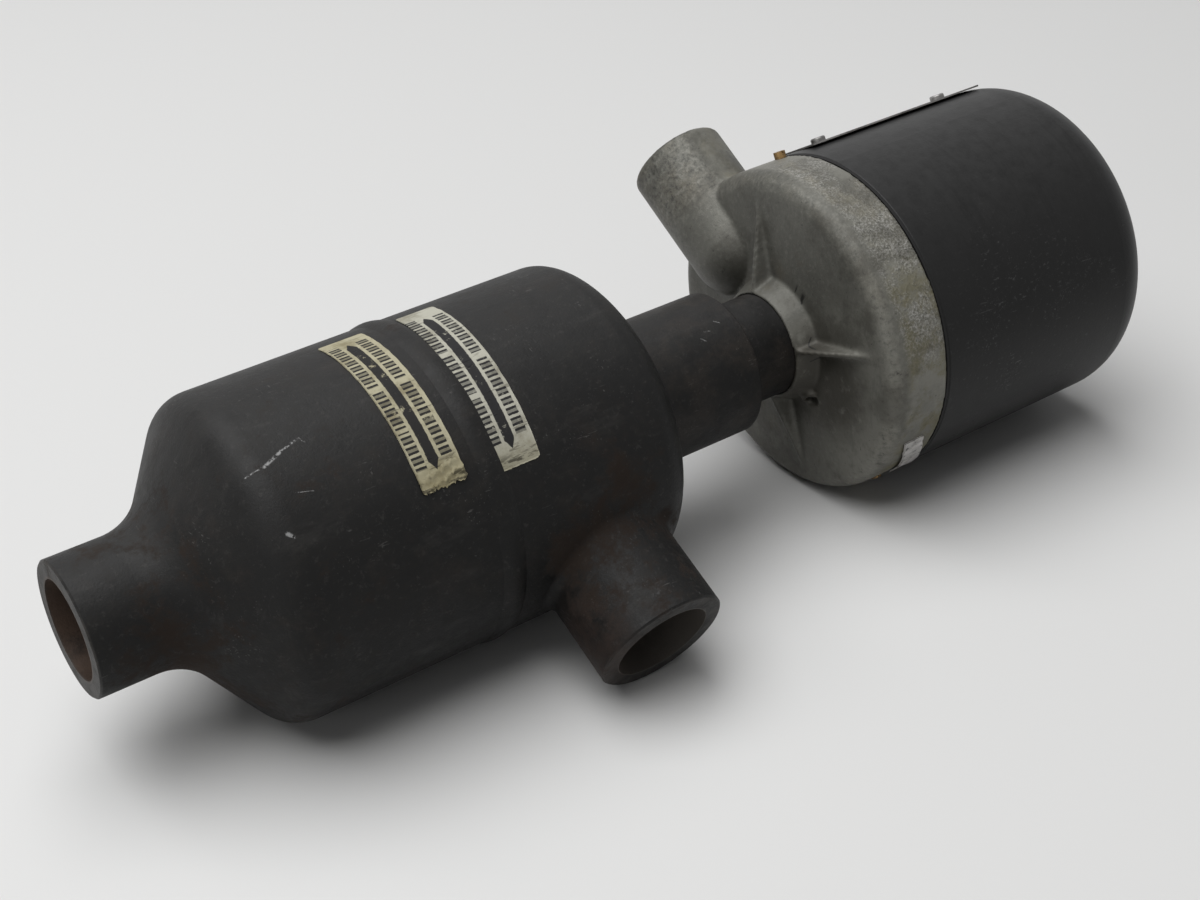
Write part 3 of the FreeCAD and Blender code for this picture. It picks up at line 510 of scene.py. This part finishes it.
def casting():
    """Weathered aluminium casting: granular skin on top of the band, stains low on it, dirt at the hub."""
    p = Paint("casting")
    along, angle = p.far(ALONG), p.angle()
    skin = p.noise(420, 6, 0.72)
    grain = p.noise(950, 4, 0.7)
    on_band = p.band(along, BAND_START, BAND_START + 6)
    off_band = p.band(along, BAND_START + 4, BAND_START - 4)
    granular = p.both(on_band, p.within(angle, -70, 5, 18), p.band(p.noise(45, 5, 0.7), 0.36, 0.5))
    colour = cast_skin(p, skin, angle, on_band)
    colour = p.over(colour, p.both(granular, p.band(grain, 0.5, 0.58)), 0.5, grey(176, 0.03))
    colour = p.over(colour, p.both(granular, p.band(grain, 0.46, 0.4)), 0.6, olive(70))
    colour = cast_face(p, colour, angle, off_band)
    colour = cast_spout(p, colour, skin, off_band)
    yellow = p.both(on_band, p.within(angle, -150, -60, 25), p.band(p.noise(60, 6, 0.75), 0.42, 0.62))
    colour = p.over(colour, yellow, 0.7, YELLOW_STAIN)
    top_stain = p.both(on_band, p.within(angle, -30, 60, 20), p.band(p.noise(40, 6, 0.75), 0.45, 0.66))
    colour = p.over(colour, top_stain, 0.5, PALE_STAIN)
    brown = p.band(p.noise(24, 7, 0.75), 0.56, 0.74)
    colour = cast_dirt(p, colour, skin, brown)
    flat = p.unrolled(HUB_RADIUS)
    cracks = p.either(*[p.stroke(flat, start, end, 0.75, 0.6) for start, end in HUB_CRACKS])
    on_hub = p.band(p.off_axis(), HUB_RADIUS + 8, HUB_RADIUS + 4)
    colour = p.over(colour, p.both(cracks, on_hub), 0.85, grey(24))
    roughness = p.blend(p.either(brown, yellow), 0.5, 0.7)
    height = p.math("ADD", p.math("MULTIPLY", skin, 0.3), p.both(granular, grain))
    normal = p.bump(height, 0.0011, 0.6, p.bump(p.noise(110, 4), 0.0008, 0.25))
    return p.finish(colour, roughness, normal, metallic=0.3, specular=0.35)


def bare_steel():
    p = Paint("bare_steel")
    tone = p.noise(120, 4, 0.6)
    colour = p.mix(p.band(tone, 0.35, 0.7), grey(105, 0.03), grey(150, 0.02))
    return p.finish(colour, p.blend(tone, 0.3, 0.5), p.bump(p.noise(900), 0.0001, 0.4), metallic=0.9)


def stainless():
    p = Paint("stainless")
    lines = p.noise(1.0, 3, 0.5, p.stretched((0, 0, 0), (20, 700, 700)))
    colour = p.mix(lines, grey(165), grey(195))
    return p.finish(colour, p.blend(lines, 0.22, 0.38), p.bump(lines, 0.00008, 0.4), metallic=1.0)


def sheet_tag():
    """Thin pale sheet, grimy, with plain dark flecks."""
    p = Paint("tag")
    dirt = p.band(p.noise(150, 6, 0.7), 0.45, 0.7)
    colour = p.mix(dirt, grey(178, 0.03), grey(128, 0.05))
    colour = p.over(colour, p.band(p.noise(420, 4, 0.7), 0.57, 0.63), 0.85, grey(38))
    normal = p.bump(p.noise(260, 4), 0.0006, 0.5)
    return p.finish(colour, p.blend(dirt, 0.4, 0.65), normal, metallic=0.5)


def brass():
    p = Paint("brass")
    dirt = p.band(p.noise(260, 5, 0.7), 0.4, 0.65)
    colour = p.mix(dirt, BRIGHT_BRASS, DULL_BRASS)
    return p.finish(colour, p.blend(dirt, 0.4, 0.7), p.bump(p.noise(900), 0.0002, 0.5), metallic=0.7)


def gasket():
    p = Paint("gasket")
    tone = p.noise(150, 4, 0.6)
    return p.finish(p.mix(tone, grey(14), grey(26)), 0.7, p.bump(tone, 0.0002, 0.5), specular=0.3)


def moulding():
    p = Paint("moulding")
    tone = p.noise(200, 4, 0.6)
    return p.finish(p.mix(tone, grey(35), grey(45)), 0.45, p.bump(tone, 0.0001, 0.4))


def insulation():
    p = Paint("insulation")
    tone = p.noise(90, 3, 0.5)
    return p.finish(p.mix(tone, *RED_LEAD), 0.4)


# Where the rows of print run, in degrees: the row towards the cover, then the other one.
FALLING_WORDS = (((9.0, -17.5), (-20.3, -47.7)), ((9.5, -17.5), (-19.5, -35.0), (-36.6, -49.7)))
RISING_WORDS = (((6.8, -18.7), (-21.8, -50.2)), ((8.1, -14.3), (-16.2, -32.8), (-35.0, -52.0)))
FALLING_FOOT = -57.0                    # angle of each label's lower end
RISING_FOOT = -59.8
ROW = (3.8, 8.4)                        # a row's two sides, in millimetres from the middle line
HATCH = 1.1                             # half the pitch of a block's strokes
BAR_HALF = 2.1
BAR_TAPER = 0.55


def print_mask(p, angle, middle, ink, words):
    """Where a label is printed: a double-pointed bar between two rows of hatched blocks.

    middle is where the bar lies along the axis, with its slope, and ink the angles of its tips."""
    round_mm = p.math("MULTIPLY", angle, math.radians(CHAMBER_RADIUS))
    start, end = (math.radians(degrees) * CHAMBER_RADIUS for degrees in ink)
    fray = p.math("MULTIPLY", p.math("SUBTRACT", p.noise(500, 4, 0.7), 0.5), 0.8)
    centre = p.math("MULTIPLY", p.math("SUBTRACT", round_mm, (start + end) / 2), middle[1])
    off = p.math("SUBTRACT", p.math("SUBTRACT", p.far(ALONG), middle[0]), centre)
    gap = p.math("ADD", p.math("ABSOLUTE", off), fray)
    to_tip = p.math("MINIMUM", p.math("SUBTRACT", round_mm, end), p.math("SUBTRACT", start, round_mm))
    half = p.math("MINIMUM", p.math("MULTIPLY", to_tip, BAR_TAPER), BAR_HALF)
    mask = p.band(p.math("SUBTRACT", gap, half), 0.25, -0.05)
    across = p.math("ADD", round_mm, p.math("MULTIPLY", fray, 0.6))
    upright = p.band(p.math("PINGPONG", across, HATCH), 0.5, 0.66)
    between = p.both(p.band(p.math("PINGPONG", across, HATCH * 2), 0.9, 0.7), 0.55)
    hatch = p.either(upright, between)
    for row, blocks in zip((1, -1), words):
        in_row = p.within(p.math("ADD", p.math("MULTIPLY", off, row), fray), *ROW, 0.2)
        in_block = p.either(*[p.within(angle, low, high, 0.25) for high, low in blocks])
        mask = p.either(mask, p.both(in_row, in_block, hatch))
    return p.both(mask, p.band(p.noise(240, 5, 0.75), 0.3, 0.42))


def printed_label(name, paper, stain, middle, ink, words, foot):
    """Stained, creased and printed paper, with painted shade darkening the folds near its foot: foot is
    the angle of its lower end.
    """
    p = Paint(name)
    angle = p.angle()
    colour = p.mix(p.band(p.noise(75, 6, 0.75), 0.42, 0.7), paper, stain)
    foot_stain = tuple(value * share for value, share in zip(stain, (0.8, 0.75, 0.5)))
    colour = p.over(colour, p.band(angle, foot + 12, foot), 0.5, foot_stain)
    creases = p.band(p.noise(1.0, 3, 0.6, p.stretched((0.3, 0.2, 0.9), (60, 420, 200))), 0.62, 0.68)
    colour = p.over(colour, creases, 0.45, CREASE)
    # Painted shade: the folds near the foot are darkened where shade falls in them.
    shaded_folds = p.band(p.noise(1.0, 4, 0.7, p.stretched((0.2, 0.9, 0.3), (90, 520, 240))), 0.5, 0.6)
    colour = p.over(colour, p.both(shaded_folds, p.band(angle, foot + 6, foot + 2)), 0.8, FOLD_SHADE)
    colour = p.over(colour, print_mask(p, angle, middle, ink, words), 0.97, INK)
    normal = p.bump(p.noise(160, 4), 0.0005, 0.4, p.bump(creases, 0.0004, 0.5))
    return p.finish(colour, 0.62, normal, specular=0.15)


def plate_metal():
    """The cover's plate: dull grey sheet with grime along its length."""
    p = Paint("plate_metal")
    grime = p.band(p.noise(60, 6, 0.75), 0.4, 0.7)
    lines = p.noise(1.0, 3, 0.5, p.stretched((0, 0, 0), (25, 900, 900)))
    colour = p.mix(grime, p.mix(lines, grey(118, 0.03), grey(140, 0.03)), grey(78, 0.06))
    return p.finish(colour, p.blend(grime, 0.4, 0.65), p.bump(lines, 0.0001, 0.4), metallic=0.6)


finishes = {
    "chamber_paint": chamber_paint(),
    "cover_paint": cover_paint(),
    "casting": casting(),
    "bare_steel": bare_steel(),
    "stainless": stainless(),
    "tag": sheet_tag(),
    "brass": brass(),
    "gasket": gasket(),
    "moulding": moulding(),
    "insulation": insulation(),
    "label_cream": printed_label("label_cream", *CREAM_PAPER, middle=(137.2, 0.0), ink=(8.2, -51.0),
                                 words=FALLING_WORDS, foot=FALLING_FOOT),
    "label_pale": printed_label("label_pale", *PALE_PAPER, middle=(171.0, 0.027), ink=(7.3, -54.0),
                                words=RISING_WORDS, foot=RISING_FOOT),
}

for part in frame["record"]["subparts"]:
    node = frame["nodes"][part["node"]]
    node.data.materials.clear()
    node.data.materials.append(finishes[part["material_slot"]])
frame["nodes"]["nameplate"].data.materials[0] = plate_metal()


# ---- Pieces ------------------------------------------------------------------------------------
def add_piece(name, points, faces, body, slot, node):
    """A smooth piece that stands for a CAD node."""
    mesh = bpy.data.meshes.new(name)
    mesh.from_pydata(points, [], faces)
    piece = bpy.data.objects.new(name, mesh)
    bpy.context.scene.collection.objects.link(piece)
    dress(piece, body, slot, node)


def dress(piece, body, slot, node):
    piece.data.materials.clear()
    piece.data.materials.append(finishes[slot])
    piece.data.shade_smooth()
    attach(piece, body)
    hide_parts(node)


def apply_modifiers(piece):
    """Bake a piece's modifiers into its mesh."""
    shown = piece.evaluated_get(bpy.context.evaluated_depsgraph_get())
    baked = bpy.data.meshes.new_from_object(shown)
    piece.modifiers.clear()
    piece.data = baked


CAST_VOXEL = 0.001
CAST_SOFTENING = 3


def soft_casting():
    """The housing base with a casting's soft edges."""
    node = frame["nodes"]["housing_base"]
    piece = bpy.data.objects.new("cast_base", node.data.copy())
    bpy.context.scene.collection.objects.link(piece)
    remesh = piece.modifiers.new("skin", "REMESH")
    remesh.mode = "VOXEL"
    remesh.voxel_size = CAST_VOXEL
    soften = piece.modifiers.new("soften", "SMOOTH")
    soften.factor = 0.5
    soften.iterations = CAST_SOFTENING
    apply_modifiers(piece)
    dress(piece, "head", "casting", "housing_base")


def wound_grid(rows, columns, place, closed):
    """Points and faces of a grid of rows, wound round the axis when closed."""
    points = [place(i / rows if closed else i / (rows - 1), j / (columns - 1))
              for i in range(rows) for j in range(columns)]
    faces = []
    for i in range(rows if closed else rows - 1):
        for j in range(columns - 1):
            a, b = i * columns + j, (i + 1) % rows * columns + j
            faces.append((a, b, b + 1, a + 1))
    return points, faces


def girth_bead():
    """The girth weld: a low bead that wanders a little, with faint ripples."""
    half_width, crown, sunk = 5.5, 1.15, 0.05
    ripples, ripple_depth, ripple_bow = 150, 0.03, 0.9
    swells, swell = 17, 0.07
    bends, wander = 9, 0.5

    def place(turn, across):
        side_way = across * 2 - 1
        arch = 1 - side_way * side_way
        ripple = ripple_depth * abs(math.sin(math.pi * (ripples * turn + ripple_bow * (1 - arch))))
        height = crown + ripple + swell * math.sin(swells * math.tau * turn)
        shift = half_width * side_way + wander * math.sin(bends * math.tau * turn) * arch
        return at(GIRTH_SEAM + shift, CHAMBER_RADIUS + height * arch - sunk, turn * 360)

    points, faces = wound_grid(rows=1500, columns=13, place=place, closed=True)
    add_piece("girth_bead", points, faces, "chamber", "chamber_paint", "girth_weld")


def wrapped_sheet(rows, columns, outer, edge, lift, thickness):
    """A sheet round the axis: edge(u, v) gives (x, angle), lift(u, v) how far it stands off."""
    def skin(depth):
        def place(u, v):
            x, angle = edge(u, v)
            return at(x, outer + lift(u, v) - depth, angle)
        return place

    top, faces = wound_grid(rows, columns, skin(0), closed=False)
    under, back = wound_grid(rows, columns, skin(thickness), closed=False)
    count = len(top)
    faces += [tuple(count + i for i in reversed(face)) for face in back]
    border = list(range(columns))
    border += [i * columns + columns - 1 for i in range(1, rows)]
    border += [(rows - 1) * columns + j for j in range(columns - 2, -1, -1)]
    border += [i * columns for i in range(rows - 2, 0, -1)]
    for a, b in zip(border, border[1:] + border[:1]):
        faces.append((b, a, count + a, count + b))
    return top + under, faces


def rough(seed, size):
    """A repeatable wobble of a number between 0 and 1."""
    rng = random.Random(seed)
    waves = [(rng.uniform(2, 14), rng.uniform(0, math.tau), rng.uniform(0.3, 1)) for _ in range(7)]
    return lambda t: size * sum(h * math.sin(f * t * math.tau + s) for f, s, h in waves) / 3


LABEL_CORNER = 0.03                     # share of the label's length over which its corners round off
CORNER_INSET = 1.3
LABEL_LIFT = 0.35
PAPER = 0.22


def paper_label(name, seed, corners, node, slot, crumple, torn):
    """A paper label with a frayed outline; its lower end can be crumpled and torn.

    corners are its two sides at the top, its two sides at the foot, and the angles of both ends."""
    (top_low, top_high), (bottom_low, bottom_high), (first, last) = corners
    low_edge, high_edge, end_edge = rough(seed, 0.12), rough(seed + 1, 0.12), rough(seed + 2, torn)

    def edge(u, v):
        near_end = max(0, abs(u * 2 - 1) - 1 + LABEL_CORNER) / LABEL_CORNER
        inset = CORNER_INSET * (1 - math.sqrt(max(0, 1 - near_end ** 2)))
        low = top_low + (bottom_low - top_low) * u + low_edge(u) + inset
        high = top_high + (bottom_high - top_high) * u + high_edge(u) - inset
        return low + (high - low) * v, first + (last - first) * u + end_edge(v) * u

    wave = rough(seed + 3, 0.5)

    def lift(u, v):
        fold = 0
        if crumple:
            ramp = max(0, (u - 1 + crumple) / crumple)
            ridge = 1 - abs(math.sin(math.pi * (1.2 * v + 22 * u + 0.5 * wave(v))))
            sharp = min(1, ramp * 2) * ridge ** 3 * min(1, 0.4 + v)
            fold = 1.2 * ramp * abs(wave(v * 0.8)) + 1.3 * sharp
        curl = 0.25 * max(abs(v * 2 - 1) - 0.85, 0) / 0.15 * abs(wave(u))
        return LABEL_LIFT + fold + curl

    points, faces = wrapped_sheet(rows=120, columns=28, outer=CHAMBER_RADIUS, edge=edge, lift=lift,
                                  thickness=PAPER)
    add_piece(name, points, faces, "chamber", slot, node)


# The tag's four corners as (x, angle): its upper end, then its lower one.
TAG_CORNERS = ((363.9, -111.8), (375.0, -111.2), (373.4, -137.4), (383.4, -136.6))
TAG_LIFT = 0.7
TAG_METAL = 0.6


def bent_tag():
    """The band's metal tag: skewed, bowed between its ends and creased across."""
    top_left, top_right, foot_left, foot_right = (Vector(corner) for corner in TAG_CORNERS)

    def edge(u, v):
        return tuple(top_left.lerp(foot_left, u).lerp(top_right.lerp(foot_right, u), v))

    def lift(u, v):
        bow = 0.9 * math.sin(math.pi * min(u * 1.1, 1))
        crease = -0.45 * math.exp(-((u - 0.22 + 0.1 * v) / 0.04) ** 2)
        rim = 0.25 * max(abs(v * 2 - 1) - 0.8, 0) / 0.2
        return TAG_LIFT + bow + crease + rim

    points, faces = wrapped_sheet(rows=60, columns=20, outer=BAND_RADIUS, edge=edge, lift=lift,
                                  thickness=TAG_METAL)
    add_piece("bent_tag", points, faces, "head", "tag", "band_tag")


soft_casting()
girth_bead()
paper_label("paper_falling", 3, ((127.8, 147.7), (127.8, 147.6), (15.0, FALLING_FOOT)),
            "label_falling", "label_cream", crumple=0.12, torn=0.7)
paper_label("paper_rising", 8, ((164.2, 181.8), (160.4, 180.0), (16.0, RISING_FOOT)),
            "label_rising", "label_pale", crumple=0.0, torn=0.12)
bent_tag()


# ---- Floor -------------------------------------------------------------------------------------
FLOOR_HALF = 6.0


def add_floor():
    mesh = bpy.data.meshes.new("floor")
    corners = [(x * FLOOR_HALF, y * FLOOR_HALF, 0) for x, y in ((-1, -1), (1, -1), (1, 1), (-1, 1))]
    mesh.from_pydata(corners, [], [(0, 1, 2, 3)])
    floor = bpy.data.objects.new("floor", mesh)
    bpy.context.scene.collection.objects.link(floor)
    p = Paint("floor")
    floor.data.materials.append(p.finish(FLOOR_COLOUR, 0.55, specular=0.3))


add_floor()
add_world()
add_camera()
add_lamp("overhead", spot=(-0.65, 0.3, 2.7), aim=(-0.1, 0, 0), size=(3.4, 2.6), power=103)
add_lamp("front", spot=(-2.4, -0.9, 0.9), aim=(-0.26, 0, 0.08), size=(1.2, 0.9), power=5)
bpy.context.scene.view_settings.view_transform = "Standard"
